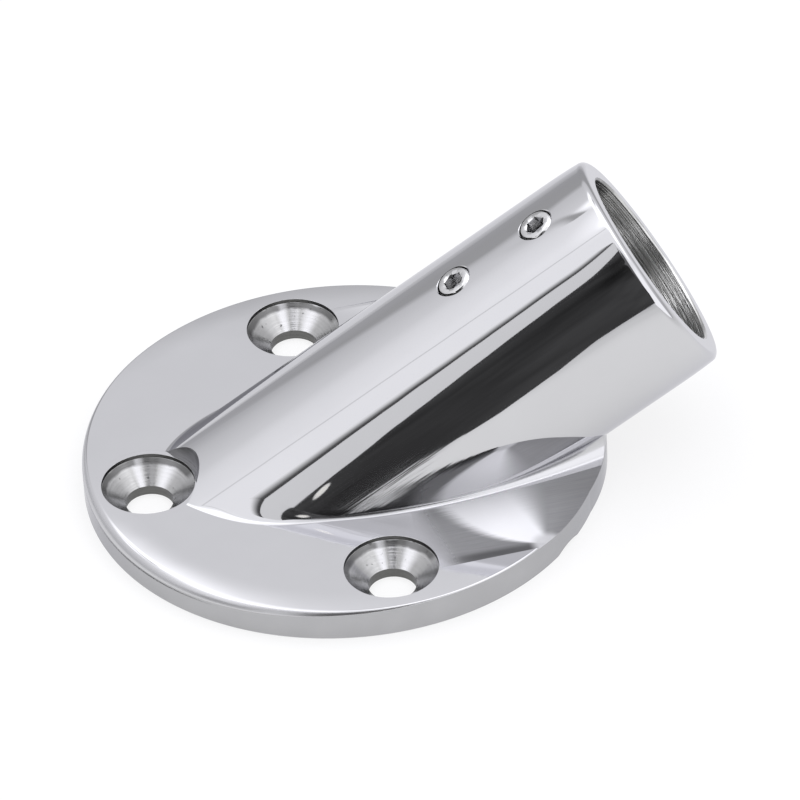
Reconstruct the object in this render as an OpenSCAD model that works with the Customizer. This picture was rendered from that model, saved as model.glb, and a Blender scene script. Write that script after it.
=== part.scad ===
// Inclined tube clamp base flange for a round rail.
// One polished casting holds the tube in a leaning socket, and two grub screws clamp it there.
// Origin: the middle of the flange's underside. +Z is up, and the socket leans towards +X, the heel side.
// All sizes are in millimetres.

/* [Flange] */
// Diameter of the round flange
flange_d = 70.4; // [66:0.1:84]
// Thickness of the flange
flange_t = 4.5; // [4:0.1:6]
// Rounding of the flange's upper edge
rim_round = 0.5; // [0.3:0.1:1]
// Rounding of the flange's lower edge
foot_round = 0.2; // [0.1:0.1:0.5]
// How far the rim swells out under the heel of the socket
heel_swell = 0.9; // [0.5:0.1:1.2]

/* [Fixing holes] */
// Diameter of the circle on which the fixing holes lie
hole_circle_d = 53.8; // [52:0.2:58]
// Diameter of each fixing hole
hole_d = 6.5; // [5:0.1:7]
// Diameter of the countersink at the flange's upper face
sink_d = 12.7; // [11:0.1:13]
// Included angle of the countersink
sink_angle = 90; // [82:1:100]
// How much wider than the countersink its tool cleared the socket's toe
toe_clear = 0.75; // [0.3:0.05:1.2]

/* [Socket] */
// Outside diameter of the tube that the socket takes
tube_d = 25.4; // [23:0.1:27]
// Clearance between tube and socket, on the radius
tube_gap = 0.15; // [0.1:0.01:0.3]
// Wall of the socket
wall = 3.4; // [3:0.1:4]
// Angle between the socket's axis and the flange
lean = 30; // [28:1:36]
// Where the socket's axis meets the flange's upper face, from the middle
axis_x = 7.45; // [6:0.05:10]
// Length of the socket's axis from the flange's upper face to the mouth
mouth_reach = 42.5; // [40:0.5:55]
// Rounding of the mouth's outer edge
mouth_round = 1; // [0.5:0.1:1.5]
// Rounding of the mouth's inner edge
lip_round = 0.35; // [0.2:0.05:0.6]
// How deep the tube goes into the socket before it meets the shoulder
tube_depth = 26.5; // [24:0.5:27]
// Width of the shoulder that stops the tube
shoulder = 2.5; // [2:0.1:4]

/* [Foot of the socket] */
// Radius of the fillet round the toe and the flanks
toe_fillet = 0.7; // [0.5:0.1:1.2]
// Radius that the fillet grows to under the heel
heel_fillet = 6.5; // [4:0.1:8]
// How far the linished band beside the socket drops at the rim
band_drop = 0.75; // [0.3:0.05:1]
// Distance of the band's outer edge from the middle line
band_edge = 29.2; // [28:0.1:31]
// Where the band begins to drop, from the middle
band_start = 7; // [5:0.5:12]

/* [Grub screws] */
// Diameter of the grub screws
grub_d = 5; // [4:0.5:6]
// Distance from the mouth to the first grub screw
grub_from_mouth = 9; // [7:0.5:11]
// Distance between the two grub screws
grub_pitch = 13.4; // [11:0.2:14]
// Width across flats of the hexagon socket
grub_key = 2.5; // [2:0.1:3]
// Clearance between a grub screw and its hole, on the radius
grub_gap = 0.05; // [0.02:0.01:0.1]

/* [Drain] */
// Width of the drain channel where it leaves the rim
drain_w = 5.6; // [4:0.1:8]
// Height of the drain channel
drain_h = 0.65; // [0.4:0.05:1]
// Direction in which the drain channel leaves, from the heel
drain_angle = -45; // [-60:1:-35]

/* [Colours] */
// Polished steel of the casting
steel_colour = "#c9ccd1";
// Steel of the grub screws
screw_colour = "#a9adb3";

/* [Hidden] */
$fn = 96;
flange_r = flange_d / 2;
hole_ring_r = hole_circle_d / 2;
bore_r = tube_d / 2 + tube_gap;
socket_r = bore_r + wall;
core_r = bore_r - shoulder;
// The countersink's depth follows from its two diameters and its angle
sink_depth = (sink_d - hole_d) / 2 / tan(sink_angle / 2);
toe_cut_r = sink_d / 2 + toe_clear;
// The band falls evenly from its start to the rim
band_angle = atan(band_drop / (flange_r - band_start));
// The heel swell is a smaller disc that stands out past the rim and runs into it at both sides
swell_r = flange_r * 0.886;
swell_x = flange_r + heel_swell - swell_r;
// The grub screw fills the wall and stops just short of the bore
grub_len = wall - 0.12;
grub_top = socket_r;
grub_chamfer = grub_d * 0.09;
grub_r = grub_d / 2 - grub_gap;
key_depth = grub_len * 0.6;
cup_depth = grub_d * 0.1;
// The countersunk rim of each tapped hole
tap_rim = 0.3;
// Radius of a round tool that leaves a channel of the named width and height
drain_r = (pow(drain_w / 2, 2) + pow(drain_h, 2)) / 2 / drain_h;
// Fillet: where it starts and ends round the foot, and how finely it is drawn
foot_from = 34;
foot_steps = 56;
arc_steps = 7;
// How far the fillet's hidden side reaches into the metal
sunk = 0.03;
root = 1.5;
eps = 0.01;

// Unit vectors along the socket's axis, and square to it through the socket's crown
along = [cos(lean), 0, sin(lean)];
crown = [-sin(lean), 0, cos(lean)];
side = [0, 1, 0];
foot = [axis_x, 0, flange_t];

// Puts things drawn upright onto the socket's axis, which starts at the flange's upper face
module on_axis() {
    translate(foot)
        rotate([0, 90 - lean, 0])
            children();
}

// Puts things drawn upright onto the socket's crown, at a distance up the axis
module on_crown(up) {
    translate(foot + up * along)
        rotate([0, -lean, 0])
            children();
}

// Positions of the grub screws along the axis
function grub_at(k) = mouth_reach - grub_from_mouth - k * grub_pitch;

// What is left over when a square corner is rounded
module corner_waste(r) {
    difference() {
        square(r + 1);
        circle(r);
    }
}

// A disc with its upper and lower edges rounded
module rounded_disc(r, h) {
    rotate_extrude()
        difference() {
            square([r, h]);
            translate([r - rim_round, h - rim_round])
                corner_waste(rim_round);
            translate([r - foot_round, foot_round])
                mirror([0, 1])
                    corner_waste(foot_round);
        }
}

// The band falls from the upper face towards the heel, on both sides of the socket
module band_waste() {
    translate([band_start, -band_edge, flange_t])
        rotate([0, band_angle, 0])
            cube([flange_d, band_edge * 2, flange_t]);
}

// Flange: the main disc, the swell under the heel, and the linished bands
module flange_plate() {
    difference() {
        union() {
            rounded_disc(flange_r, flange_t);
            translate([swell_x, 0, 0])
                rounded_disc(swell_r, flange_t - band_drop - eps);
        }
        band_waste();
    }
}

// Socket: a leaning round with a rounded mouth, cut off level with the underside
module socket_outside() {
    back = socket_r / tan(lean) + flange_t / sin(lean) + 2;
    intersection() {
        on_axis()
            rotate_extrude()
                difference() {
                    translate([0, -back])
                        square([socket_r, back + mouth_reach]);
                    translate([socket_r - mouth_round, mouth_reach - mouth_round])
                        corner_waste(mouth_round);
                }
        translate([-flange_r, -flange_r, eps])
            cube([flange_d * 2, flange_d, flange_d * 2]);
    }
}

// Height of the flange's upper face, which drops along the band
function ground(x) = flange_t - max(0, x - band_start) * tan(band_angle);

// Fillet radius at an angle round the foot, which is 0 at the heel and 180 at the toe
function fillet_r(a) = toe_fillet + (heel_fillet - toe_fillet) * pow(max(0, cos(a)), 3);

// Outward direction of the socket's surface at that angle
function out_dir(a) = -cos(a) * crown + sin(a) * side;

// Centre of the ball that rolls between the flange and the socket
function ball_x(a, r, g) = axis_x + (g + r - flange_t) / tan(lean) + (socket_r + r) * cos(a) / sin(lean);
function ball(a) =
    let (r = fillet_r(a))
    let (x1 = ball_x(a, r, flange_t))
    let (x2 = ball_x(a, r, ground(x1)))
    let (g = ground(x2))
    [ball_x(a, r, g), (socket_r + r) * sin(a), g + r];

// One section of the fillet: the arc between its two seats, and a root inside the metal
function foot_section(a) =
    let (r = fillet_r(a))
    let (c = ball(a))
    let (n = out_dir(a))
    let (down = [0, 0, -1])
    let (span = acos(max(-1, min(1, down * -n))))
    concat(
        [c + (r + sunk) * down],
        [for (k = [1 : arc_steps - 1])
            c + r * (sin(span * (1 - k / arc_steps)) * down + sin(span * k / arc_steps) * -n) / sin(span)],
        [c - (r + sunk) * n],
        [c + (r / cos(span / 2) + root) * (down - n) / norm(down - n)]
    );

// Fillet between flange and socket, lofted from section to section round the foot
module foot_fillet() {
    m = arc_steps + 2;
    angles = [for (k = [0 : foot_steps]) foot_from + k * (360 - 2 * foot_from) / foot_steps];
    points = [for (a = angles) each foot_section(a)];
    skin = [for (k = [0 : foot_steps - 1], j = [0 : m - 1])
        let (p = k * m + j)
        let (q = k * m + (j + 1) % m)
        each [[p, q, q + m], [p, q + m, p + m]]];
    start_cap = [for (j = [1 : m - 2]) [m - 1, j, j - 1]];
    end_cap = [for (j = [1 : m - 2]) [foot_steps * m + m - 1, foot_steps * m + j - 1, foot_steps * m + j]];
    intersection() {
        polyhedron(points, concat(skin, start_cap, end_cap), convexity = 6);
        union() {
            cylinder(r = flange_r - 2 * eps, h = flange_d);
            translate([swell_x, 0, 0])
                cylinder(r = swell_r - 2 * eps, h = flange_d);
        }
    }
}

// Bore for the tube, the shoulder that stops it, and the core that opens through the underside
module socket_inside() {
    on_axis() {
        rotate_extrude() {
            translate([0, mouth_reach - tube_depth])
                square([bore_r, tube_depth + 1]);
            translate([bore_r - eps, mouth_reach - lip_round])
                difference() {
                    square([lip_round + eps, lip_round + 1]);
                    translate([lip_round + eps, 0])
                        circle(lip_round);
                }
        }
        translate([0, 0, -flange_d])
            cylinder(r = core_r, h = flange_d + mouth_reach - tube_depth + 1);
    }
}

// A countersunk fixing hole
module fixing_hole() {
    translate([0, 0, -1])
        cylinder(d = hole_d, h = flange_t + 2);
    translate([0, 0, flange_t - sink_depth])
        cylinder(d1 = hole_d, d2 = sink_d, h = sink_depth);
    translate([0, 0, flange_t - eps])
        cylinder(d = sink_d, h = 1);
}

// A tapped hole through the socket's wall, with its mouth eased
module tapped_hole() {
    translate([0, 0, bore_r - 2])
        cylinder(d = grub_d, h = wall + 4);
    translate([0, 0, grub_top - tap_rim])
        cylinder(r1 = grub_d / 2, r2 = grub_d / 2 + tap_rim + 0.5, h = tap_rim + 0.5);
}

// Drain channel from the core's opening out under the rim
module drain_channel() {
    rotate([0, 0, drain_angle])
        translate([0, 0, drain_h - drain_r])
            rotate([0, 90, 0])
                cylinder(r = drain_r, h = flange_d);
}

// The casting
module flange_body() {
    color(steel_colour)
        difference() {
            union() {
                flange_plate();
                socket_outside();
                foot_fillet();
            }
            socket_inside();
            for (a = [90, 180, 270])
                rotate([0, 0, a])
                    translate([hole_ring_r, 0, 0])
                        fixing_hole();
            translate([-hole_ring_r, 0, flange_t - eps])
                cylinder(r = toe_cut_r, h = flange_t + wall);
            for (k = [0, 1])
                on_crown(grub_at(k))
                    tapped_hole();
            drain_channel();
        }
}

// A grub screw with a hexagon socket and a cup point, drawn with its top at zero
module grub_screw() {
    difference() {
        rotate_extrude()
            polygon([
                [0, 0],
                [grub_r - grub_chamfer, 0],
                [grub_r, -grub_chamfer],
                [grub_r, grub_chamfer * 2 - grub_len],
                [grub_r - grub_chamfer * 2, -grub_len],
                [0, -grub_len]
            ]);
        translate([0, 0, -key_depth])
            cylinder(d = grub_key / cos(30), h = grub_len, $fn = 6);
        translate([0, 0, -key_depth - grub_key / 5])
            cylinder(d1 = 0, d2 = grub_key, h = grub_key / 5 + eps);
        translate([0, 0, -grub_len - eps])
            cylinder(d1 = grub_key, d2 = 0, h = cup_depth);
    }
}

// The two grub screws in the crown of the socket
module grub_screws() {
    color(screw_colour)
        for (k = [0, 1])
            on_crown(grub_at(k))
                translate([0, 0, grub_top])
                    rotate([0, 0, 11 + k * 23])
                        grub_screw();
}

flange_body();
grub_screws();
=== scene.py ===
import math
import bmesh
import bpy
import numpy as np
from mathutils import Matrix, Vector
from mathutils.kdtree import KDTree


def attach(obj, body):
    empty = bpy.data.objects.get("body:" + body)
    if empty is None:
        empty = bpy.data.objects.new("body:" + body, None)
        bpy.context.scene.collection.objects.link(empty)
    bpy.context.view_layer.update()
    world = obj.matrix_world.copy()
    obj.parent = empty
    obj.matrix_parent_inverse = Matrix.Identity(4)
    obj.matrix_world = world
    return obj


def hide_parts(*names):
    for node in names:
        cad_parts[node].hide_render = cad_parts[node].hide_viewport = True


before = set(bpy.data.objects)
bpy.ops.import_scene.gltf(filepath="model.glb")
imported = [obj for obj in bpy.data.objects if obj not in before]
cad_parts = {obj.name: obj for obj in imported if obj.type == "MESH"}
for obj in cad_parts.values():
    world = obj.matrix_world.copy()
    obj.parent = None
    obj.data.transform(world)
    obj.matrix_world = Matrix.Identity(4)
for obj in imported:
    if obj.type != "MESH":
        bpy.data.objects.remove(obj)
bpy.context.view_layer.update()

print("frame loaded")

# Shapes are worked out in millimetres, as in the part's source, and scaled to metres at the end
xAxis, yAxis, zAxis = np.eye(3)

flange = {
    "radius": 35.2, "thickness": 4.5, "rimRound": 0.22, "footRound": 0.2,
    "heelSwell": 0.9, "swellPart": 0.886, "swellSunk": 0.3,  # the swell under the heel is a smaller disc
    "rollWidth": 3.6, "roll": 0.02, "toeRoll": 0.1, "toeRound": 1.4,  # how far the wheel wore the edge down
    "wornAngle": 207, "wornFade": 1.15,  # where it wore most, and how fast that fades round the rim
    "wallRings": (1.2, 2.2, 3.0), "innerRing": 12, "steps": 384,
}
socket = {
    "lean": 30, "axisX": 7.45, "reach": 42.5, "bore": 12.85, "wall": 3.4, "depth": 26.5,
    "shoulder": 2.5, "mouthRound": 1.0, "lipRound": 0.35, "steps": 320, "coreSteps": 160,
    "endRoll": 6.5, "endDrop": 0.15,  # the polishing wheel rolled the mouth's end down a little
    "lowEnd": 0.02,  # its lower end is level and stops this far above the underside
}
grub = {"diameter": 5, "fromMouth": 9, "pitch": 13.4, "key": 2.5, "rim": 0.14, "steps": 128}
cutTop = 12  # wide cutters reach this high

lean = math.radians(socket["lean"])
along = np.array([math.cos(lean), 0, math.sin(lean)])
crown = np.array([-math.sin(lean), 0, math.cos(lean)])
axisFoot = np.array([socket["axisX"], 0, flange["thickness"]])
socketRadius = socket["bore"] + socket["wall"]


def unit(v):
    v = np.asarray(v, float)
    return v / np.maximum(np.linalg.norm(v, axis=-1, keepdims=True), 1e-12)


def straight(*points):
    # straight runs of an outline, with the outside on the right
    runs = []
    for p, q in zip(points, points[1:]):
        d = unit(np.subtract(q, p))
        runs.append(([p, q], [(d[1], -d[0])] * 2))
    return runs


def bend(r, z, radius, start, end, steps=8, hollow=False):
    # a rounded run about (r, z), from one angle to another
    turns = np.radians(np.linspace(start, end, steps + 1))
    side = -1 if hollow else 1
    points = [(r + radius * math.cos(a), z + radius * math.sin(a)) for a in turns]
    return [(points, [(side * math.cos(a), side * math.sin(a)) for a in turns])]


def openLip(r, top, radius, degrees, steps, above):
    # a hole's rounded lip up to a face, and the cutter's end above that face
    end = math.radians(degrees)
    edge = (r + radius * (1 - math.cos(end)), top - radius + radius * math.sin(end))
    return (bend(r + radius, top - radius, radius, 180, 180 - degrees, steps, hollow=True)
            + straight(edge, (r + radius, top + above), (0, top + above)))


def ringFaces(ringCount, perRing, closed=True):
    j = np.arange(perRing if closed else perRing - 1)
    k = (j + 1) % perRing
    faces = [np.stack([i * perRing + j, i * perRing + k, (i + 1) * perRing + k, (i + 1) * perRing + j], 1)
             for i in range(ringCount - 1)]
    return np.concatenate(faces)


def capped(rings, first, last):
    # rings of points, closed by a middle point at each end
    n = len(rings[0])
    start = 1 + (len(rings) - 1) * n
    faces = [[0, (a + 1) % n + 1, a + 1] for a in range(n)]
    faces += (ringFaces(len(rings), n) + 1).tolist()
    faces += [[start + a, start + (a + 1) % n, start + n] for a in range(n)]
    return np.concatenate([[first]] + rings + [[last]]), faces


class Turned:
    # a solid turned about an axis; a cutter's skin faces the other way once it has cut
    def __init__(self, runs, steps, origin=(0, 0, 0), up=zAxis, ahead=xAxis, cutter=False):
        self.steps, self.cutter = steps, cutter
        self.origin = np.asarray(origin, float)
        self.place = np.array([ahead, np.cross(up, ahead), up])
        self.p0 = np.array([p for points, _ in runs for p in points[:-1]], float)
        self.p1 = np.array([p for points, _ in runs for p in points[1:]], float)
        self.n0 = np.array([n for _, normals in runs for n in normals[:-1]], float)
        self.n1 = np.array([n for _, normals in runs for n in normals[1:]], float)

    def mesh(self):
        outline = [tuple(self.p0[0])] + [tuple(p) for p in self.p1]
        turns = np.arange(self.steps) * 2 * math.pi / self.steps
        rings = [np.stack([r * np.cos(turns), r * np.sin(turns), np.full(self.steps, z)], 1)
                 for r, z in outline[1:-1]]
        points, faces = capped(rings, (0, 0, outline[0][1]), (0, 0, outline[-1][1]))
        return points @ self.place + self.origin, faces

    def flat(self, points):
        local = (points - self.origin) @ self.place.T
        return np.stack([np.hypot(local[:, 0], local[:, 1]), local[:, 2]], 1), local

    def normals(self, points, middles):
        # the outline's run that is nearest to a face's middle gives the normals of its corners
        m = self.flat(middles)[0]
        q, local = self.flat(points)
        d = self.p1 - self.p0
        size = (d ** 2).sum(1)
        t = np.clip(((m[:, None] - self.p0) * d).sum(2) / size, 0, 1)
        near = np.linalg.norm(m[:, None] - self.p0 - t[..., None] * d, axis=2).argmin(1)
        t = np.clip(((q - self.p0[near]) * d[near]).sum(1) / size[near], 0, 1)[:, None]
        n = unit(self.n0[near] * (1 - t) + self.n1[near] * t)
        out = local[:, :2] / np.maximum(q[:, :1], 1e-9)
        n = np.column_stack([out * n[:, :1], n[:, 1]]) @ self.place
        return -n if self.cutter else n


class Plate:
    # the round plate, with a rim that the polishing wheel left slightly uneven
    def shape(self, turn):
        away = np.abs(np.mod(turn, 2 * math.pi) - math.radians(flange["wornAngle"]))
        toe = np.cos(np.minimum(away * flange["wornFade"], math.pi / 2)) ** 2
        roll = flange["roll"] + flange["toeRoll"] * toe
        rounding = flange["rimRound"] + flange["toeRound"] * toe
        radius = np.full_like(turn, flange["radius"])
        slope = np.arctan(2 * roll / flange["rollWidth"])
        middleR = radius - rounding
        middleZ = flange["thickness"] - roll - rounding * np.cos(slope)
        return radius, rounding, roll, slope, middleR, middleZ

    def mesh(self):
        turn = np.arange(flange["steps"]) * 2 * math.pi / flange["steps"]
        radius, rounding, roll, slope, middleR, middleZ = self.shape(turn)
        top = flange["thickness"]
        low = flange["footRound"]
        rows = [(radius - low + low * math.sin(a), 0 * radius + low - low * math.cos(a))
                for a in np.radians(np.linspace(0, 90, 7))]
        rows += [(radius, 0 * radius + z) for z in flange["wallRings"]]
        for f in np.linspace(1, 0, 13):
            tilt = slope + (math.pi / 2 - slope) * f
            rows.append((middleR + rounding * np.sin(tilt), middleZ + rounding * np.cos(tilt)))
        edge = middleR + rounding * np.sin(slope)
        for f in np.linspace(1, 0, 11)[1:]:
            rows.append((edge - flange["rollWidth"] * (1 - f), top - roll * f ** 2))
        rows.append((0 * radius + flange["innerRing"], 0 * radius + top))
        rings = [np.stack([r * np.cos(turn), r * np.sin(turn), z], 1) for r, z in rows]
        return capped(rings, (0, 0, 0), (0, 0, top))

    def normals(self, points, middles):
        turn = np.arctan2(points[:, 1], points[:, 0])
        r = np.hypot(points[:, 0], points[:, 1])
        z = points[:, 2]
        radius, rounding, roll, slope, middleR, middleZ = self.shape(turn)
        edge = middleR + rounding * np.sin(slope)
        way = np.clip((r - edge + flange["rollWidth"]) / flange["rollWidth"], 0, 1)
        onTop = z > flange["thickness"] - roll - 0.02
        wall = np.stack([np.ones_like(r), np.zeros_like(r)], 1)
        top = unit(np.stack([2 * roll * way / flange["rollWidth"], np.ones_like(r)], 1))
        upper = unit(np.stack([r - middleR, z - middleZ], 1))
        low = flange["footRound"]
        lower = unit(np.stack([r - radius + low, z - low], 1))
        n = np.where((z > middleZ)[:, None], upper, wall)
        n = np.where((onTop & (r <= edge + 1e-4))[:, None], top, n)
        n = np.where((z < low)[:, None], lower, n)
        n = np.where(((z < low) & (r <= radius - low))[:, None], [[0, -1.0]], n)
        out = np.stack([np.cos(turn), np.sin(turn)], 1)
        return np.column_stack([out * n[:, :1], n[:, 1]])


band = {
    # the belt's flat beside the socket, from its slow start towards the heel
    "start": 4.5, "ease": 11.5, "drop": 0.75, "edge": 29.2,
    "scoop": 0.18, "crease": 28.6, "grow": 10,  # hollow that the belt left, deepest a third of the way in
    "end": 40, "firstColumn": 2.8, "columns": 84, "rows": 160,
    "apex": (21.3, -28.1),  # where its edge meets the rim, and the painted highlight and shade of its fan open out
}


def ground(x):
    # height of the flange's upper face, which falls along the linished band
    ease = band["ease"]
    fall = band["drop"] / (flange["radius"] - band["start"] - ease / 2)
    x = np.maximum(0, x - band["start"])
    return flange["thickness"] - fall * np.where(x < ease, x * x / 2 / ease, x - ease / 2)


class Scoop:
    # cutter that leaves the linished band on both sides of the socket
    def __init__(self):
        turns = np.radians(np.linspace(150, foot["from"], 200))
        low = Fillet().section(turns)[0]
        self.footX, self.footY = low[:, 0], low[:, 1]

    def height(self, x, y):
        near = np.interp(x, self.footX, self.footY)
        way = np.clip((band["crease"] - np.abs(y)) / (band["crease"] - near), 0, 1)
        grown = np.clip((x - band["start"]) / band["grow"], 0, 1)
        hollow = 27 / 4 * way * (1 - way) ** 2 * grown * grown * (3 - 2 * grown)
        return ground(x) - band["scoop"] * hollow

    def mesh(self):
        start = band["start"]
        xs = np.concatenate([[start - 0.02], np.linspace(start + band["firstColumn"], band["end"], band["columns"])])
        ys = np.linspace(-band["edge"], band["edge"], band["rows"])
        x, y = (v.ravel() for v in np.meshgrid(xs, ys, indexing="ij"))
        z = self.height(x, y)
        z[x < start] += 0.004  # just above the flange, so the cut begins inside it
        low = np.stack([x, y, z], 1)
        high = np.stack([x, y, np.full_like(x, cutTop)], 1)
        rows, cols = len(xs), len(ys)
        faces = ringFaces(rows, cols, closed=False)
        rim = [i * cols for i in range(rows)] + [(rows - 1) * cols + j for j in range(1, cols)]
        rim += [i * cols + cols - 1 for i in range(rows - 2, -1, -1)] + list(range(cols - 2, 0, -1))
        total = rows * cols
        walls = [[a, b, b + total, a + total] for a, b in zip(rim, rim[1:] + rim[:1])]
        return np.concatenate([low, high]), faces.tolist() + (faces[:, ::-1] + total).tolist() + walls

    def normals(self, points, middles):
        e = 0.01
        x, y = points[:, 0], points[:, 1]
        slopeX = (self.height(x + e, y) - self.height(x - e, y)) / (2 * e)
        slopeY = (self.height(x, y + e) - self.height(x, y - e)) / (2 * e)
        return unit(np.stack([-slopeX, -slopeY, np.ones_like(x)], 1))


foot = {
    "toeFillet": 0.7, "heelFillet": 6.5, "from": 34, "steps": 300, "arcSteps": 26, "sunk": 0.012, "root": 1.5,
    # where the wheel widened the toe's fillet: angle, degrees before and after it, wider, further up the socket
    "drawn": [(165, 50, 30, 0.35, 0.2), (223, 21, 25, 1.5, 1.9)],
}


class Fillet:
    # blend between flange and socket: a rolling ball that grows towards the heel,
    # with a longer leg up the socket round the toe
    def section(self, a):
        a = np.asarray(a, float)
        grown = foot["heelFillet"] - foot["toeFillet"]
        r = foot["toeFillet"] + grown * np.maximum(0, np.cos(a)) ** 3
        extra = 0 * a
        for middle, before, after, wider, longer in foot["drawn"]:
            off = np.degrees(a) - middle
            way = np.cos(np.clip(off / np.where(off > 0, after, before), -1, 1) * math.pi / 2) ** 2
            r, extra = r + wider * way, extra + longer * way
        top = flange["thickness"]
        g = np.full_like(a, top)
        for _ in range(4):
            x = axisFoot[0] + (g + r - top) / math.tan(lean) + (socketRadius + r) * np.cos(a) / math.sin(lean)
            g = ground(x)
        centre = np.stack([x, (socketRadius + r) * np.sin(a), g + r], -1)
        inward = np.cos(a)[..., None] * crown - np.sin(a)[..., None] * yAxis
        low = centre - r[..., None] * zAxis
        upward = unit(zAxis - (inward @ zAxis)[..., None] * inward)
        high = centre + r[..., None] * inward + extra[..., None] * upward
        for _ in range(2):
            out = high - axisFoot - ((high - axisFoot) @ along)[..., None] * along
            far = np.linalg.norm(out, axis=-1, keepdims=True)
            high = high - out / far * (far - socketRadius)
        out = unit(out)
        upward = unit(upward - (upward * out).sum(-1, keepdims=True) * out)
        corner = high - upward * ((high[..., 2] - g) / upward[..., 2])[..., None]
        outward = unit(low - corner)
        half = np.arccos(np.clip((outward * upward).sum(-1), -1, 1)) / 2
        return low, corner, high, np.sin(half), inward

    def point(self, a, u):
        low, corner, high, weight, _ = self.section(a)
        k0, k1, k2 = (1 - u) ** 2, 2 * weight * u * (1 - u), u * u + 0 * weight
        total = k0 + k1 + k2
        return low * (k0 / total)[..., None] + corner * (k1 / total)[..., None] + high * (k2 / total)[..., None]

    def mesh(self):
        turns = np.radians(np.linspace(foot["from"], 360 - foot["from"], foot["steps"] + 1))
        low, corner, high, _, inward = self.section(turns)
        rows = [low - foot["sunk"] * zAxis]
        rows += [self.point(turns, u) for u in np.linspace(0, 1, foot["arcSteps"] + 1)[1:-1]]
        rows += [high + foot["sunk"] * inward]
        rows += [corner + foot["root"] * unit(inward - zAxis)]
        m = len(rows)
        points = np.stack(rows, 1).reshape(-1, 3)
        faces = ringFaces(len(turns), m).tolist()
        last = foot["steps"] * m
        faces.append(list(range(m - 1, -1, -1)))
        faces.append([last + j for j in range(m)])
        return points, [f[::-1] for f in faces]

    def normals(self, points, middles):
        # the nearest point of a fine grid, drawn in to the surface, and the slopes there
        q, back = np.unique(np.round(points, 5), axis=0, return_inverse=True)
        turns = np.radians(np.linspace(foot["from"] - 2, 362 - foot["from"], 800))
        us = np.linspace(0, 1, 41)
        a, u = (v.ravel() for v in np.meshgrid(turns, us, indexing="ij"))
        tree = KDTree(len(a))
        for k, p in enumerate(self.point(a, u)):
            tree.insert(p, k)
        tree.balance()
        near = np.array([tree.find(p)[1] for p in q])
        a, u = a[near], u[near]
        e = 1e-4
        for _ in range(4):
            miss = q - self.point(a, u)
            da = (self.point(a + e, u) - self.point(a - e, u)) / (2 * e)
            du = (self.point(a, u + e) - self.point(a, u - e)) / (2 * e)
            aa, au, uu = (da * da).sum(1), (da * du).sum(1), (du * du).sum(1)
            ma, mu = (da * miss).sum(1), (du * miss).sum(1)
            det = np.maximum(aa * uu - au * au, 1e-9)
            a = np.clip(a + (ma * uu - mu * au) / det, turns[0], turns[-1])
            u = np.clip(u + (mu * aa - ma * au) / det, 0, 1)
        da = self.point(a + e, u) - self.point(a - e, u)
        du = self.point(a, u + e) - self.point(a, u - e)
        n = unit(np.cross(da, du))
        inward = self.section(a)[4]
        n *= np.sign((n * (zAxis - inward)).sum(1))[:, None]
        return n[back.ravel()]


drain = {"width": 5.6, "height": 0.65, "angle": -45, "from": 4, "to": 45, "below": 0.6, "steps": 32}


class Drain:
    # round-bottomed channel from the core's opening out under the rim
    def __init__(self):
        w, h = drain["width"] / 2, drain["height"]
        self.r = (w * w + h * h) / 2 / h
        self.z = h - self.r
        turn = math.radians(drain["angle"])
        self.ahead = np.array([math.cos(turn), math.sin(turn), 0])
        self.across = np.array([-math.sin(turn), math.cos(turn), 0])

    def mesh(self):
        half = math.acos(min(1, (-drain["below"] - self.z) / self.r))
        profile = [(self.r * math.sin(a), self.z + self.r * math.cos(a))
                   for a in np.linspace(-half, half, drain["steps"] + 1)]
        points = [reach * self.ahead + s * self.across + z * zAxis
                  for reach in (drain["from"], drain["to"]) for s, z in profile]
        n = len(profile)
        faces = [[j, j + 1, n + j + 1, n + j] for j in range(n - 1)] + [[n - 1, 0, n, 2 * n - 1]]
        faces += [list(range(n - 1, -1, -1)), list(range(n, 2 * n))]
        return np.array(points), faces

    def normals(self, points, middles):
        s = points @ self.across
        return -unit(np.outer(s, self.across) + np.outer(points[:, 2] - self.z, zAxis))


def newPiece(name, points, faces, turnOut=True):
    # an object made from points and faces, which are turned to face outwards
    mesh = bpy.data.meshes.new(name)
    mesh.from_pydata(np.asarray(points, float).tolist(), [], faces)
    if turnOut:
        work = bmesh.new()
        work.from_mesh(mesh)
        bmesh.ops.recalc_face_normals(work, faces=work.faces)
        work.to_mesh(mesh)
        work.free()
    piece = bpy.data.objects.new(name, mesh)
    bpy.context.collection.objects.link(piece)
    return piece


def marker(k):
    # a blank material that carries a surface's number through the cuts
    name = "surface" + str(k)
    return bpy.data.materials.get(name) or bpy.data.materials.new(name)


def solid(name, shape, number, total):
    piece = newPiece(name, *shape.mesh())
    for k in range(total):
        piece.data.materials.append(marker(k))
    piece.data.polygons.foreach_set("material_index", [number] * len(piece.data.polygons))
    piece.data.update()
    return piece


def combine(piece, tool, operation):
    change = piece.modifiers.new("cut", "BOOLEAN")
    change.operation = operation
    change.solver = "MANIFOLD"
    change.material_mode = "INDEX"
    change.object = tool
    shown = piece.evaluated_get(bpy.context.evaluated_depsgraph_get())
    mesh = bpy.data.meshes.new_from_object(shown)
    piece.modifiers.clear()
    piece.data = mesh
    bpy.data.objects.remove(tool)


holes = {
    "ring": 26.9, "radius": 3.25, "sinkRadius": 6.35, "sinkDepth": 3.1, "sinkWall": 0.58,
    "edge": 0.04, "ledge": (0.12, 0.1), "steps": 160,
    "toeClear": 0.75, "toeSkim": 0.004, "toeHigh": 9,  # the cutter that clears the socket's toe for the screw's head
}


def holeOutline():
    top, r, s = flange["thickness"], holes["radius"], holes["sinkRadius"]
    wallFoot = top - holes["sinkWall"]
    inward, down = holes["ledge"]
    return (straight((0, -1), (r, -1), (r, top - holes["sinkDepth"]), (s - inward, wallFoot - down), (s, wallFoot),
                     (s, top - holes["edge"]))
            + openLip(s, top, holes["edge"], 80, 6, 0.2))


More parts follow.
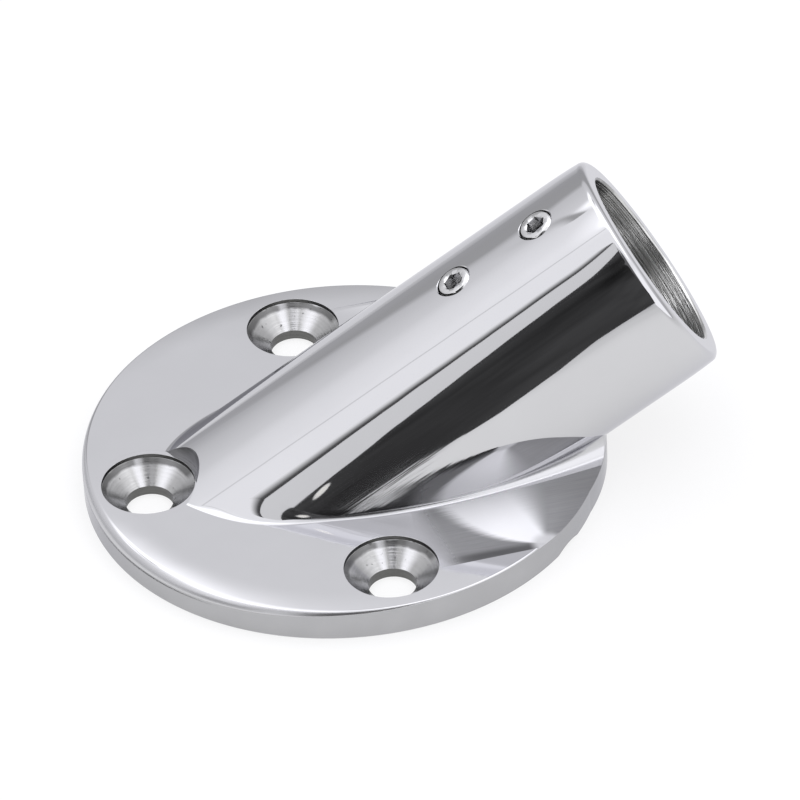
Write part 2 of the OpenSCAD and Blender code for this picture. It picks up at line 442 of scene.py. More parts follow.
def wallOf(radius, x):
    # a wide drum that trims the fillet to the rim
    inside = radius - 0.01
    return Turned(straight((0, -1), (inside, -1), (inside, cutTop), (0, cutTop)), flange["steps"], origin=(x, 0, 0))


def endRoll():
    # the socket's outside falls gently before the mouth and then rounds over
    drop, length, mouth = socket["endDrop"], socket["endRoll"], socket["mouthRound"]
    start = socket["reach"] - mouth - length
    slope = math.atan(3 * drop / length)
    parts = np.linspace(0, 1, 13)
    fall = [(socketRadius - drop * f ** 3, start + length * f) for f in parts]
    leaning = [unit((1, 3 * drop * f * f / length)) for f in parts]
    centre = (socketRadius - drop - mouth * math.cos(slope), socket["reach"] - mouth)
    return [(fall, leaning)] + bend(*centre, mouth, math.degrees(slope), 90, 14)


def screwSpot(k):
    # where a grub screw's axis leaves the socket's axis
    return axisFoot + along * (socket["reach"] - grub["fromMouth"] - k * grub["pitch"])


def castingSurfaces():
    # every surface of the casting, and whether it adds metal, cuts it or clips the fillet
    top, low, steps = flange["thickness"], flange["footRound"], flange["steps"]
    reach, bore, mouth, lip = socket["reach"], socket["bore"], socket["mouthRound"], socket["lipRound"]
    back = -(socketRadius / math.tan(lean) + top / math.sin(lean) + 2)
    swellRadius = flange["radius"] * flange["swellPart"]
    swellX = flange["radius"] + flange["heelSwell"] - swellRadius
    swellTop = top - flange["swellSunk"]
    stop = reach - socket["depth"]
    core = bore - socket["shoulder"]
    onAxis = {"origin": axisFoot, "up": along, "ahead": -crown}
    surfaces = [
        ("plate", Plate(), "add"),
        ("swell", Turned(straight((0, 0), (swellRadius - low, 0)) + bend(swellRadius - low, low, low, -90, 0, 6)
                         + straight((swellRadius, low), (swellRadius, swellTop), (0, swellTop)),
                         steps, origin=(swellX, 0, 0)), "add"),
        ("band", Scoop(), "cut"),
        ("socket", Turned(straight((0, back), (socketRadius, back), (socketRadius, reach - mouth - socket["endRoll"]))
                          + endRoll() + straight((socketRadius - socket["endDrop"] - mouth, reach), (0, reach)),
                          socket["steps"], **onAxis), "add"),
        ("fillet", Fillet(), "add"),
        ("rimSide", wallOf(flange["radius"], 0), "clip"),
        ("swellSide", wallOf(swellRadius, swellX), "clip"),
        ("bore", Turned(straight((0, stop), (bore, stop), (bore, reach - lip)) + openLip(bore, reach, lip, 82, 8, 0.3),
                        socket["steps"], cutter=True, **onAxis), "cut"),
        ("core", Turned(straight((0, -40), (core, -40), (core, stop + 0.5), (0, stop + 0.5)),
                        socket["coreSteps"], cutter=True, **onAxis), "cut"),
    ]
    for k, angle in enumerate((90, 180, 270)):
        a = math.radians(angle)
        centre = (holes["ring"] * math.cos(a), holes["ring"] * math.sin(a), 0)
        surfaces.append(("hole" + str(k), Turned(holeOutline(), holes["steps"], origin=centre, cutter=True), "cut"))
    toe, skim, high = holes["sinkRadius"] + holes["toeClear"], top - holes["toeSkim"], top + holes["toeHigh"]
    surfaces.append(("toeCut", Turned(straight((0, skim), (toe, skim), (toe, high), (0, high)),
                                      holes["steps"], origin=(-holes["ring"], 0, 0), cutter=True), "cut"))
    r, face, flare = grub["diameter"] / 2, socketRadius - grub["rim"], grub["rim"] + 0.5
    outline = straight((0, bore - 2), (r, bore - 2), (r, face), (r + flare, face + flare), (0, face + flare))
    for k in (0, 1):
        surfaces.append(("tapped" + str(k), Turned(outline, grub["steps"], origin=screwSpot(k), up=crown, ahead=along,
                                                   cutter=True), "cut"))
    surfaces.append(("drain", Drain(), "cut"))
    return surfaces


def buildBody(surfaces):
    body = None
    for number, (name, shape, way) in enumerate(surfaces):
        piece = solid(name, shape, number, len(surfaces))
        if name == "socket":
            low = socket["lowEnd"]
            for v in piece.data.vertices:
                if v.co.z < low:
                    v.co += Vector(along) * ((low - v.co.z) / along[2])
        if name == "fillet":
            fillet = piece
        elif name == "rimSide":
            rim = piece
        elif name == "swellSide":
            # the fillet ends where the rim does
            combine(rim, piece, "UNION")
            combine(fillet, rim, "INTERSECT")
            combine(body, fillet, "UNION")
        elif body is None:
            body = piece
        else:
            combine(body, piece, "UNION" if way == "add" else "DIFFERENCE")
        print("  body", name, len(body.data.polygons), "faces")
    return body


def readLayer(kind, width, layer, what):
    values = np.zeros(len(layer) * width, kind)
    layer.foreach_get(what, values)
    return values.reshape(-1, width) if width > 1 else values


def dressBody(body, surfaces):
    # the true normal of each surface is set at every corner, so that mirror reflections run clean
    mesh = body.data
    mesh.polygons.foreach_set("use_smooth", [True] * len(mesh.polygons))
    spots = readLayer(np.float32, 3, mesh.vertices, "co").astype(float)
    corners = readLayer(np.int32, 1, mesh.loops, "vertex_index")
    sizes = readLayer(np.int32, 1, mesh.polygons, "loop_total")
    middles = readLayer(np.float32, 3, mesh.polygons, "center").astype(float)
    facing = readLayer(np.float32, 3, mesh.polygons, "normal").astype(float)
    number = readLayer(np.int32, 1, mesh.polygons, "material_index")
    owner = np.repeat(np.arange(len(sizes)), sizes)
    normals = facing[owner].copy()
    for k, (name, shape, _) in enumerate(surfaces):
        mine = np.nonzero(number[owner] == k)[0]
        if not len(mine):
            print("  no faces left of", name)
            continue
        n = shape.normals(spots[corners[mine]], middles[owner[mine]])
        good = (n * facing[owner[mine]]).sum(1) > 0.8
        normals[mine[good]] = n[good]
        print("  normals", name, len(mine), "off", int((~good).sum()))
    mesh.transform(Matrix.Diagonal((0.001, 0.001, 0.001, 1)))
    mesh.normals_split_custom_set(normals.tolist())
    return number, facing


surfaces = castingSurfaces()
body = buildBody(surfaces)
number, facing = dressBody(body, surfaces)
print("casting built")


class Link:
    # a socket that can be worked with like a number
    def __init__(self, bench, socket):
        self.bench, self.socket = bench, socket

    def math(self, operation, *others):
        return self.bench.node("ShaderNodeMath", {"operation": operation}, dict(enumerate((self,) + others)))

    def after(self, operation, other):
        return self.bench.node("ShaderNodeMath", {"operation": operation}, {0: other, 1: self})

    def __add__(self, other):
        return self.math("ADD", other)

    __radd__ = __add__

    def __mul__(self, other):
        return self.math("MULTIPLY", other)

    __rmul__ = __mul__

    def __sub__(self, other):
        return self.math("SUBTRACT", other)

    def __rsub__(self, other):
        return self.after("SUBTRACT", other)

    def __truediv__(self, other):
        return self.math("DIVIDE", other)

    def __rtruediv__(self, other):
        return self.after("DIVIDE", other)

    def __pow__(self, other):
        return self.math("POWER", other)

    def __rpow__(self, other):
        return self.after("POWER", other)


def shade(level, tint=1.02):
    return (level, level, level * tint)


class Bench:
    # the node tree of a material or of the world
    def __init__(self, owner):
        owner.use_nodes = True
        self.tree = owner.node_tree
        self.tree.nodes.clear()

    def node(self, kind, settings=None, sockets=None, out=0):
        made = self.tree.nodes.new(kind)
        for name, value in (settings or {}).items():
            if name == "stops":
                marks = made.color_ramp.elements
                while len(marks) < len(value):
                    marks.new(0.5)
                for mark, (place, level) in zip(marks, value):
                    mark.position = place
                    mark.color = (level, level, level, 1)
            elif name == "smooth":
                made.color_ramp.interpolation = value
            else:
                setattr(made, name, value)
        for name, value in (sockets or {}).items():
            if isinstance(value, Link):
                self.tree.links.new(value.socket, made.inputs[name])
            else:
                made.inputs[name].default_value = value
        if isinstance(out, tuple):
            return tuple(Link(self, made.outputs[k]) for k in out)
        return Link(self, made.outputs[out]) if len(made.outputs) else made

    def blend(self, factor, a, b):
        a = a if isinstance(a, Link) else (*a, 1)
        b = b if isinstance(b, Link) else (*b, 1)
        return self.node("ShaderNodeMix", {"data_type": "RGBA"}, {0: factor, 6: a, 7: b}, out=2)

    def tones(self, factor, dark, light, tint=1.02):
        return self.blend(factor, shade(dark, tint), shade(light, tint))

    def step(self, value, low, high):
        # 0 below low, 1 above high, and smooth between them
        return self.node("ShaderNodeMapRange", {"interpolation_type": "SMOOTHSTEP"}, {0: value, 1: low, 2: high})

    def window(self, value, low, high, soft):
        return self.step(value, low - soft, low + soft) * (1 - self.step(value, high - soft, high + soft))

    def vector(self, operation, *values):
        return self.node("ShaderNodeVectorMath", {"operation": operation}, dict(enumerate(values)))

    def scaled(self, vector, amount):
        return self.node("ShaderNodeVectorMath", {"operation": "SCALE"}, {0: vector, "Scale": amount})

    def split(self, vector):
        return self.node("ShaderNodeSeparateXYZ", None, {0: vector}, out=(0, 1, 2))

    def join(self, x, y, z):
        return self.node("ShaderNodeCombineXYZ", None, {0: x, 1: y, 2: z})

    def spot(self):
        # position in millimetres
        return self.scaled(self.node("ShaderNodeTexCoord", out="Object"), 1000)

    def place(self):
        # the same, and its three parts
        spot = self.spot()
        return (spot,) + self.split(spot)

    def measure(self, x, z, way):
        # how far a spot lies along one of the socket's directions
        return x * float(way[0]) + z * float(way[2])

    def noise(self, vector, scale, detail=2, stretch=None):
        if stretch:
            vector = self.vector("MULTIPLY", vector, stretch)
        return self.node("ShaderNodeTexNoise", None, {"Vector": vector, "Scale": scale, "Detail": detail})

    def facing(self):
        return self.node("ShaderNodeNewGeometry", out="Normal")

    def tilt(self, normal, way, amount):
        # leans the normal one way by an amount that varies, as fine tool marks do
        return self.vector("NORMALIZE", self.vector("ADD", normal, self.scaled(way, amount)))

    def bump(self, height, distance, strength=1.0):
        return self.node("ShaderNodeBump", None, {"Height": height, "Distance": distance, "Strength": strength})

    def metal(self, colour, roughness, normal, solid=1.0):
        # steel turns less white at a glancing angle than the shader's plain metal
        shader = self.node("ShaderNodeBsdfPrincipled", None, {
            "Base Color": colour, "Roughness": roughness, "Metallic": solid, "Specular Tint": (0.8, 0.8, 0.83, 1),
            "Normal": normal})
        self.node("ShaderNodeOutputMaterial", None, {"Surface": shader})


def material(name):
    made = bpy.data.materials.new(name)
    return made, Bench(made)


polish = {
    "roughness": 0.03, "tones": (0.585, 0.625), "filletShadeTone": 0.36, "fleckHighlightTone": (1.0, 0.98, 0.93),
    # satin spots on the lower flank, their colour lifted near white as a painted highlight: place along and across the
    # socket, slope, half length, half width
    "flecks": [(-1.1, -13.05, 0.09, 1.35, 0.17), (-5.1, -13.85, -0.33, 0.7, 0.14)],
}


def mirrorPolish(blended=False):
    made, b = material("wheel blended steel" if blended else "mirror polished steel")
    spot, x, y, z = b.place()
    cloud = b.noise(spot, 0.09, 3)
    tone = b.tones(cloud, *polish["tones"])
    # the lower flank towards the toe was brushed along the socket and never fully polished out
    run = b.measure(x, z, along)
    over = b.measure(x, z, crown)
    toToe = 1 - b.step(run, 6, 22)
    brushed = b.window(y, -19, -13.6, 1.2) * toToe * b.step(z, 4.6, 6.0)
    across = b.vector("CROSS_PRODUCT", b.facing(), tuple(along))
    streak = b.noise(b.join(run * 0.12, y * 7, over * 7), 1, 4)
    fleck = 0.0
    for middle, side, slope, size, width in polish["flecks"]:
        off = ((run - middle) / size) ** 2 + ((y - side - (run - middle) * slope) / width) ** 2
        fleck = (1 - b.step(off + (streak - 0.5) * 1.2, 0, 3)) ** 2 + fleck
    if blended:
        # the wheel left the fillet satin from the toe's corner to the heel, and a painted shade darkens the fillet's
        # colour from x -9 to 4 mm
        worn = b.step(x, -11, -6) * 0.75
        tone = b.blend(b.window(x, -9, 4, 3) * 0.45, tone, shade(polish["filletShadeTone"]))
    else:
        # the rim's rounded edge is satin where it turns down
        worn = (1 - b.step(b.split(b.facing())[2], 0.75, 0.97)) * b.step((x * x + y * y) ** 0.5, 32.8, 34.4)
        worn = worn * (1 - b.step(z, 4.5, 4.6))
    # the satin spots are real, and their near-white colour is a painted highlight
    tone = b.blend(fleck, tone, polish["fleckHighlightTone"])
    normal = b.tilt(b.bump(b.noise(spot, 0.13, 1), 0.00002), across, (streak - 0.5) * brushed * 0.36 + fleck * 0.12)
    b.metal(tone, polish["roughness"] + cloud * 0.02 + brushed * 0.12 + fleck * 0.26 + worn * 0.26, normal)
    return made


def buffedRim():
    made, b = material("buffed rim")
    spot = b.spot()
    cloud = b.noise(spot, 0.2, 2)
    marks = b.noise(spot, 1, 3, (0.3, 0.3, 4.0))
    b.metal(b.tones(cloud, 0.41, 0.47), 0.12 + cloud * 0.06, b.bump(marks, 0.00001))
    return made


bandShadeAndHighlight = {
    # the band's painted shade in three sectors of the fan, dark and light in each, and where the next one takes over
    "sectors": [(0.25, 0.34, None), (0.28, 0.4, (85, 105)), (0.23, 0.34, (105, 140))],
    # bright: painted highlight near and far from the apex; crease: painted shade along the crease; apex: the painted
    # fan's tone at its point; before: the polished tone ahead of the band
    "bright": (0.98, 0.78), "crease": 0.09, "apex": 0.7, "before": 0.6,
}


def linishedBand():
    # a fan of painted highlight and shade opens from the point where the band's edge meets the rim
    made, b = material("linished band")
    spot, x, y, z = b.place()
    apexX, apexY = band["apex"]
    aside = y.math("ABSOLUTE")
    outward = b.join(0.0, y / aside, 0.0)
    marks = b.noise(spot, 1, 4, (0.15, 5, 5))
    fine = b.noise(spot, 1, 3, (0.4, 30, 30))
    begun = x - b.step(y, -1, 1) * 7 - (aside - 17) * 0.12
    start = b.step(begun, 4.2, 8.4)
    away = ((x - apexX) ** 2 + (aside + apexY) ** 2) ** 0.5
    fan = (0 - aside - apexY).math("ARCTAN2", apexX - x) * (180 / math.pi) + (marks - 0.5) * 5
    # painted highlight: a bright wedge of the fan, lighter near the apex
    bright = b.step(fan - away * 1.85, 7, 19) * (1 - b.step(fan, 74, 106)) * start
    # painted shade in sectors of the fan, varied by the belt's marks
    for dark, light, turns in bandShadeAndHighlight["sectors"]:
        sector = b.tones(marks, dark, light)
        tone = b.blend(b.step(fan, *turns), tone, sector) if turns else sector
    # painted shade along the crease at the band's edge
    tone = b.blend(b.step(aside, 26.9, 28.3) * b.step(begun, 4, 10) * 0.85, tone, shade(bandShadeAndHighlight["crease"]))
    tone = b.blend(bright, tone, b.tones(b.step(away, 5, 15), *bandShadeAndHighlight["bright"]))
    # the painted fan closes in a lighter tone at the apex
    tone = b.blend(1 - b.step(away, 1.2, 2.8), tone, shade(bandShadeAndHighlight["apex"]))
    tone = b.blend(start, shade(bandShadeAndHighlight["before"]), tone)
    normal = b.tilt(b.bump(marks, 0.00001, 0.5), (0, 1, 0), (fine - 0.5) * 0.26 * start)
    normal = b.tilt(normal, outward, bright * 0.06)
    b.metal(tone, 0.04 + start * (marks * 0.1 + 0.24 + bright * 0.22), normal, solid=1 - start * 0.4)
    return made


sink = {
    "tones": (0.42, 0.54), "stain": 0.38, "pit": 0.12, "shadow": 0.14,
    "bright": 0.8, "brightTurns": [(36, 58, 10), (87, 100, 5)],  # painted highlights in sectors: degrees about the hole, softness
    "middle": (0.34, 0.85), "middleTurns": (67, 80, 3.5),  # painted reflection in one sector: dark at the toe's hole, light at the two others
}


def turnedSink():
    # painted highlight and shade in sectors round each cone, over the tool's rings and stains
    made, b = material("turned countersink")
    spot, x, y, z = b.place()
    rings = b.noise(spot, 1, 3, (0.12, 0.12, 9))
    fine = b.noise(spot, 1, 2, (0.5, 0.5, 60))
    stain = b.noise(spot, 0.55, 4)
    side = b.step(x, -18, -17)  # 0 at the toe's hole, 1 at the two others
    over = y - side * y.math("SIGN") * holes["ring"]
    turn = over.math("ARCTAN2", x + (1 - side) * holes["ring"]) * (180 / math.pi)
    tone = b.tones(rings, *sink["tones"], 0.99)
    tone = b.blend(b.step(stain, 0.45, 0.7) * 0.4, tone, shade(sink["stain"], 0.98))
    # painted highlights in two sectors round each hole
    first, second = (b.window(turn, *turns) for turns in sink["brightTurns"])
    tone = b.blend((first + second) * (0.6 + rings * 0.4), tone, shade(sink["bright"]))
    # painted reflection in the middle sector, dark at the toe's hole and light at the others
    middle = b.window(turn, *sink["middleTurns"]) * (0.3 + rings * 0.5)
    tone = b.blend(middle, tone, b.tones(side, *sink["middle"]))
    # painted shadow on the cone's upper part under the hole's wall, broken by a painted glint near ninety degrees
    above = b.window(z + (stain - 0.5) * 0.4, 3.35, 3.95, 0.14) * b.step(over, 0.2, 1.6)
    tone = b.blend(above * (0.9 - b.window(turn, 84, 95, 3) * 0.4), tone, shade(sink["shadow"], 0.99))
    tone = b.blend(b.step(b.noise(spot, 1.9, 1), 0.73, 0.76), tone, shade(sink["pit"], 1))
    normal = b.tilt(b.bump(rings, 0.00002), (0, 0, 1), (fine - 0.5) * 0.1)
    b.metal(tone, 0.14 + rings * 0.1 + b.step(z, 3.85, 3.95) * 0.25, normal)
    return made


# crown: painted shade on the bore's upper side; patch: painted light low on the bore's far side, and the heights it
# spans with their softness
boreFinish = {"tones": (0.5, 0.8), "stain": 0.26, "crown": 0.16, "patch": 1.0, "patchHeight": (-12.5, -9.6, 0.8)}


def boredInside():
    made, b = material("bored inside")
    spot, x, y, z = b.place()
    run = b.measure(x, z, along)
    rings = b.noise(b.join(run * 5.0, y * 0.15, 0.0), 1, 3)
    fine = b.noise(b.join(run * 40, y * 0.3, z * 0.3), 1, 2)
    stain = b.noise(spot, 0.16, 3)
    height = b.measure(x, z, crown) - float(axisFoot @ crown)
    tone = b.tones(rings, *boreFinish["tones"], 0.98)
    tone = b.blend(b.step(stain, 0.42, 0.6) * 0.55, tone, shade(boreFinish["stain"], 0.98))
    # painted shade over the bore's upper side, with a ragged edge from the stain noise
    tone = b.blend(b.step(height + stain * 6, 5, 12) * 0.7, tone, shade(boreFinish["crown"], 0.98))
    # painted patch of light low on the bore's far side
    patch = b.window(height + (stain - 0.5) * 3, *boreFinish["patchHeight"]) * b.step(y, -1, 2)
    tone = b.blend(patch, tone, shade(boreFinish["patch"], 0.98))
    normal = b.tilt(b.bump(rings, 0.00005), tuple(along), (fine - 0.5) * 0.6)
    b.metal(tone, 0.2 + rings * 0.16, normal)
    return made


rawFinishes = {
    # the marks' scale, detail and stretch, dark and light tone and their tint, roughness and its spread, and depth
    "drilled wall": (1, 3, (0.3, 0.3, 5), (0.1, 0.2, 0.97), 0.22, 0.15, 0.00008),
    "milled toe": (1, 3, (0.2, 0.2, 4), (0.22, 0.36, 1), 0.25, 0.15, 0.00006),
    "cast core": (1.6, 4, None, (0.3, 0.42, 1), 0.5, 0, 0.0002),
    "ground underside": (1, 4, (3.0, 0.1, 1.0), (0.44, 0.56, 1.02), 0.3, 0, 0.00005),
}


def rawSteel(name):
    # steel as the tool or the mould left it
    scale, detail, stretch, tones, rough, spread, depth = rawFinishes[name]
    made, b = material(name)
    marks = b.noise(b.spot(), scale, detail, stretch)
    b.metal(b.tones(marks, *tones), rough + marks * spread if spread else rough, b.bump(marks, depth))
    return made


def screwSteel():
    made, b = material("bright screw steel")
    spot, x, y, z = b.place()
    marks = b.noise(spot, 1.2, 2)
    height = b.measure(x, z, crown) - float(axisFoot @ crown) - socketRadius
    # painted shade deep in the hex socket
    tone = b.blend(b.step(height, -1.6, -0.3), shade(0.5, 1), b.tones(marks, 0.66, 0.78, 1))
    b.metal(tone, 0.1 + marks * 0.08, b.bump(marks, 0.00001))
    return made


def dressSurfaces(body, surfaces, number, facing):
    finishes = {
        "mirror": mirrorPolish(), "blended": mirrorPolish(True), "rim": buffedRim(), "band": linishedBand(),
        "sink": turnedSink(), "drilled": rawSteel("drilled wall"), "toe": rawSteel("milled toe"),
        "bore": boredInside(), "core": rawSteel("cast core"), "base": rawSteel("ground underside"),
    }
    usual = {
        "plate": "mirror", "swell": "rim", "rimSide": "rim", "swellSide": "rim", "band": "band", "socket": "mirror",
        "fillet": "blended", "bore": "bore", "core": "core", "toeCut": "toe", "drain": "base",
        "tapped0": "drilled", "tapped1": "drilled",
    }
    order = list(finishes)
    mesh = body.data
    mesh.materials.clear()
    for finish in finishes.values():
        mesh.materials.append(finish)
    upright, level = np.abs(facing[:, 2]), facing[:, 2]
    chosen = np.zeros(len(number), np.int32)
    for k, (name, _, _) in enumerate(surfaces):
        mine = number == k
        chosen[mine] = order.index(usual.get(name, "sink"))
        if name in ("plate", "swell"):
            chosen[mine & (upright < 0.2)] = order.index("rim")
            chosen[mine & (level < -0.9)] = order.index("base")
        if name.startswith("hole"):
            chosen[mine & (upright < 0.1)] = order.index("drilled")
            chosen[mine & (level > 0.85)] = order.index("mirror")
        if name == "toeCut":
            chosen[mine & (level > 0.9)] = order.index("mirror")
        if name.startswith("tapped"):
            chosen[mine & (np.abs(facing @ crown) > 0.3)] = order.index("mirror")
    mesh.polygons.foreach_set("material_index", chosen)
    mesh.update()


dressSurfaces(body, surfaces, number, facing)
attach(body, "root")
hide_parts("flange_body")
body.name = "casting"
print("casting dressed")


screw = {
    "radius": 2.45, "root": 2.12, "pitch": 0.8, "length": 3.28, "chamfer": 0.3, "keyDepth": 1.97,
    "keyMouth": 0.12, "cup": 0.5, "steps": 96, "turns": (11, 34), "sharp": 32,
    "names": ("grub_screw_near_the_mouth", "grub_screw_further_in"),
}


def buildScrew(k):
    # socket set screw: hexagon socket, chamfered top, cut thread and cup point
    turn = np.arange(screw["steps"]) * 2 * math.pi / screw["steps"]
    flat = grub["key"] / 2
    hexagon = flat / np.cos(np.mod(turn, math.pi / 3) - math.pi / 6)
    radius, root, pitch = screw["radius"], screw["root"], screw["pitch"]
    length, chamfer, key = screw["length"], screw["chamfer"], screw["keyDepth"]
    rows = [(hexagon, -key), (hexagon, -screw["keyMouth"]), (0 * turn + flat / math.cos(math.pi / 6) + 0.03, 0),
            (0 * turn + radius - chamfer - 0.04, 0), (0 * turn + radius - chamfer + 0.03, -0.04)]
    for w in np.arange(chamfer, length - chamfer, pitch / 10):
        phase = np.mod(w / pitch - turn / 2 / math.pi, 1)
        tooth = np.clip(1.25 - np.abs(phase - 0.5) * 3.2, 0, 1)
        limit = np.minimum(radius, radius - chamfer * 1.6 + (length - w) * 0.8)  # the thread tapers at the tip
        rows.append((np.minimum(limit, root + (radius - root) * tooth), -w))
    rows += [(0 * turn + radius - chamfer * 2, -length), (0 * turn + flat, -length)]
    rings = [np.stack([r * np.cos(turn), r * np.sin(turn), 0 * turn + z], 1) for r, z in rows]
    points, faces = capped(rings, (0, 0, -key - grub["key"] / 5), (0, 0, screw["cup"] - length))
    spin = math.radians(screw["turns"][k])
    ahead = along * math.cos(spin) + np.cross(crown, along) * math.sin(spin)
    points = points @ np.array([ahead, np.cross(crown, ahead), crown]) + screwSpot(k) + crown * socketRadius
    piece = newPiece(screw["names"][k], points / 1000, [f[::-1] for f in faces])
    piece.data.polygons.foreach_set("use_smooth", [True] * len(piece.data.polygons))
    piece.data.set_sharp_from_angle(angle=math.radians(screw["sharp"]))
    return piece


screwFinish = screwSteel()
for k in (0, 1):
    piece = buildScrew(k)
    piece.data.materials.append(screwFinish)
    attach(piece, "root")
    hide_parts("grub_screws")
print("grub screws built")


view = {
    # degrees, then millimetres on the lens and metres from the part's origin
    "turn": -12.55, "rise": 38.75, "roll": -3.42, "sensor": 36, "lens": 360,
    "right": 0.00776, "up": 0.00955, "back": 1.08572148,
}


def makeCamera():
    # long lens, looking down on the toe side of the part
    turn, rise, roll = (math.radians(view[what]) for what in ("turn", "rise", "roll"))
    back = Vector((math.sin(turn) * math.cos(rise), -math.cos(turn) * math.cos(rise), math.sin(rise)))
    right = Vector((math.cos(turn), math.sin(turn), 0))
    up = back.cross(right)
    right, up = right * math.cos(roll) + up * math.sin(roll), up * math.cos(roll) - right * math.sin(roll)
    camera = bpy.data.objects.new("camera", bpy.data.cameras.new("camera"))
    bpy.context.collection.objects.link(camera)
    camera.data.sensor_width = view["sensor"]
    camera.data.lens = view["lens"]
    camera.data.clip_end = 20
    eye = right * view["right"] + up * view["up"] + back * view["back"]
    camera.matrix_world = Matrix.Translation(eye) @ Matrix((right, up, back)).transposed().to_4x4()
    bpy.context.scene.camera = camera


table = {
    "radius": 6, "steps": 96, "gap": 0.00001, "colour": (0.86, 0.86, 0.87, 1),
    # how bright it is with distance in metres, and how much of that is its own
    "stops": [(0, 1.0), (0.1, 1.0), (0.3, 0.8), (1, 0.65)], "strength": 1.04, "own": 0.72,
}


def makeFloor():
    turns = np.arange(table["steps"]) * 2 * math.pi / table["steps"]
    points = np.stack([np.cos(turns), np.sin(turns), 0 * turns], 1) * table["radius"]
    floor = newPiece("floor", points, [list(range(table["steps"]))], turnOut=False)
    floor.location.z = -table["gap"]
    made, b = material("white floor")
    x, y, z = b.split(b.spot())
    away = (x * x + y * y) ** 0.5 / 1000
    level = b.node("ShaderNodeValToRGB", {"smooth": "EASE", "stops": table["stops"]}, {0: away})
    seen, glossy, through = b.node("ShaderNodeLightPath",
                                   out=("Is Camera Ray", "Is Glossy Ray", "Is Transmission Ray"))
    seen = seen.math("MAXIMUM", glossy).math("MAXIMUM", through)
    plain = b.node("ShaderNodeBsdfDiffuse", None, {"Color": table["colour"]})
    glow = b.node("ShaderNodeEmission", None, {"Color": level, "Strength": table["strength"]})
    surface = b.node("ShaderNodeMixShader", None, {0: seen * table["own"], 1: plain, 2: glow})
    b.node("ShaderNodeOutputMaterial", None, {"Surface": surface})
    floor.data.materials.append(made)


cards = {
    # outlines in millimetres on upright planes by the part, and how bright they are
    "nearPlane": -113, "farPlane": 200,
    "black": [(-66, -20), (-66, 0), (-66, 300), (-45, 215), (-22, 136), (2, 106), (30, 84), (50, 62), (46, 36),
              (24, 27), (17, 25), (14, 15.5), (6.3, 7.4), (0.7, 6.8), (-5.6, 7.5), (-14, 1), (-30, -20)],
    "blackLevel": 0.035, "blackUneven": 5.0,
    "side": [(-185, 1.25), (-164, 0.9), (-146, 0.35), (-139, 0.12), (-128.5, 0.06), (-127.5, 0.95), (-66.2, 0.93)],
    "sideHeights": (-20, 330), "sideClear": -180,
    "wallLevel": 0.5, "wallStep": 4.0, "wallX": (-220, 301), "wallZ": (-20, 381),
    "wallEdge": (-76, 135, -0.62, 18), "wallTop": (130, 95, 2.6, 14),  # place, where it bends, slope and softness
}


def makeCard(name, points, faces, levels, covers, uneven=0.0):
    card = newPiece(name, np.asarray(points, float) / 1000, faces, turnOut=False)
    for what, values in (("level", levels), ("cover", covers)):
        card.data.attributes.new(what, "FLOAT", "POINT").data.foreach_set("value", values)
    made, b = material(name + " card")
    level = b.node("ShaderNodeAttribute", {"attribute_name": "level"}, out="Fac")
    if uneven:
        level = level * (1 + (b.noise(b.spot(), 0.02, 3) - 0.4) * uneven)
    cover = b.node("ShaderNodeAttribute", {"attribute_name": "cover"}, out="Fac")
    tone = b.blend(level * 0.5, (0, 0, 0), (2, 2, 2.05))
    glow = b.node("ShaderNodeEmission", None, {"Color": tone, "Strength": 1.0})
    clear = b.node("ShaderNodeBsdfTransparent")
    shown = b.node("ShaderNodeMixShader", None, {0: cover, 1: clear, 2: glow})
    b.node("ShaderNodeOutputMaterial", None, {"Surface": shown})
    card.data.materials.append(made)
    card.visible_camera = card.visible_diffuse = card.visible_shadow = card.visible_transmission = False


def softBend(value, start, bendAt, slope, soft):
    # level at first, and steady after the bend
    return start + slope * soft * np.log1p(np.exp((value - bendAt) / soft))


def makeCards():
    # only reflections see the cards
    black = [(x, cards["nearPlane"], z) for x, z in cards["black"]]
    makeCard("black", black, [list(range(len(black)))], [cards["blackLevel"]] * len(black), [1.0] * len(black),
             uneven=cards["blackUneven"])
    corners = [(x, z, level) for x, level in cards["side"] for z in cards["sideHeights"]]
    makeCard("side", [(x, cards["nearPlane"], z) for x, z, level in corners],
             [[2 * k, 2 * k + 2, 2 * k + 3, 2 * k + 1] for k in range(len(cards["side"]) - 1)],
             [level for x, z, level in corners], [0.0 if x < cards["sideClear"] else 1.0 for x, z, level in corners])
    # grey wall behind, which ends softly to the left and above
    xs, zs = np.arange(*cards["wallX"], cards["wallStep"]), np.arange(*cards["wallZ"], cards["wallStep"])
    x, z = (v.ravel() for v in np.meshgrid(xs, zs, indexing="ij"))
    edge, top = softBend(z, *cards["wallEdge"]), softBend(-x, *cards["wallTop"])
    cover = np.clip((x - edge) / 16 + 0.5, 0, 1) * np.clip((top - z) / 24 + 0.5, 0, 1) * np.clip((z + 10) / 75, 0, 1)
    makeCard("grey_wall", np.stack([x, 0 * x + cards["farPlane"], z], 1),
             ringFaces(len(xs), len(zs), closed=False).tolist(), [cards["wallLevel"]] * len(x), cover)


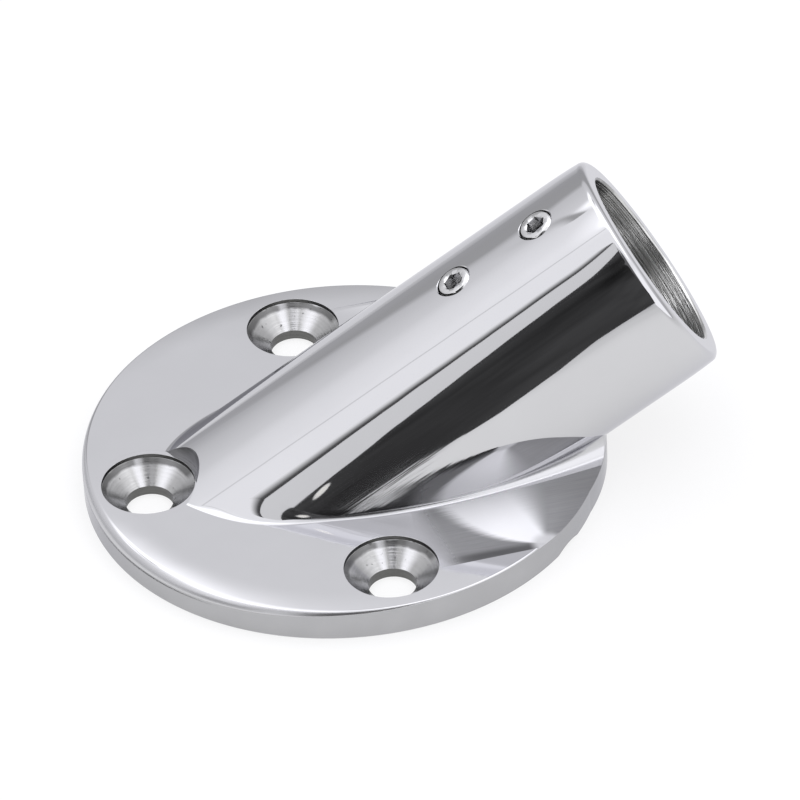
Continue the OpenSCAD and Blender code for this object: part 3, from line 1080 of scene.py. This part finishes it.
studio = {
    # brightness of the far side by height in degrees
    "far": [(-10, 0.66), (0, 0.6), (10, 0.64), (22, 0.8), (33, 0.9), (39, 0.96), (44, 1.1), (50, 1.2), (56, 1.5),
            (90, 1.6)],
    "near": 1.25, "panel": 1.9, "thread": 0.4, "tint": (0.985, 0.985, 1.02, 1),
    # patches of light and dark: turn from, to and softness, rise the same, how bright, whether on the near side only
    "patches": [(-35, 66, 4, 52, 82, 3, 2.1, False), (70, 79, 2, 50, 58, 2, 0.35, False),
                (-167, -138, 5, 6, 32, 5, 0.3, True), (-90, -25, 3, -6, 46, 3, 1.45, True),
                (-124, -90, 3, 26, 62, 4, 0.18, True)],
}


def makeStudio():
    # soft studio: a broad panel overhead, a window, and light and dark patches round the part
    world = bpy.context.scene.world or bpy.data.worlds.new("studio")
    bpy.context.scene.world = world
    b = Bench(world)
    x, y, z = b.split(b.node("ShaderNodeTexCoord", out="Generated"))
    rise = z.math("ARCSINE") * (180 / math.pi)
    turn = y.math("ARCTAN2", x) * (180 / math.pi)
    aside = (0 - y).math("ARCTAN2", 0 - x) * (180 / math.pi)  # 0 to the left of the part
    near = 1 - b.step(y, -0.12, 0.12)
    stops = [((height + 90) / 180, bright) for height, bright in studio["far"]]
    level = b.node("ShaderNodeValToRGB", {"smooth": "LINEAR", "stops": stops}, {0: (rise + 90) / 180})
    level = b.blend(near * b.step(rise, 20, 34), level, shade(studio["near"], 1))
    panel = b.window(turn, 82, 134, 5) * b.step(rise, 40.5, 46.5) + b.window(turn, 134, 176, 5) * b.step(rise, 56, 60)
    panel = panel * (1 - (1 - b.step(turn, 92, 100)) * b.step(rise, 50, 55))
    level = b.blend(panel, level, shade(studio["panel"], 1))
    for *turns, low, high, soft, bright, nearOnly in studio["patches"]:
        patch = b.window(turn, *turns) * b.window(rise, low, high, soft)
        level = b.blend(near * patch if nearOnly else patch, level, shade(bright, 1))
    thread = b.window(aside, 2.3, 3.7, 0.5) * b.step(rise, 30, 34)
    level = b.blend(thread * 0.45, level, shade(studio["thread"], 1))
    tinted = b.node("ShaderNodeMix", {"data_type": "RGBA", "blend_type": "MULTIPLY"},
                    {0: 1.0, 6: level, 7: studio["tint"]}, out=2)
    glow = b.node("ShaderNodeBackground", None, {"Color": tinted, "Strength": 1.0})
    b.node("ShaderNodeOutputWorld", None, {"Surface": glow})


makeCamera()
makeFloor()
makeCards()
makeStudio()
bpy.context.scene.view_settings.view_transform = "Standard"
print("studio ready")
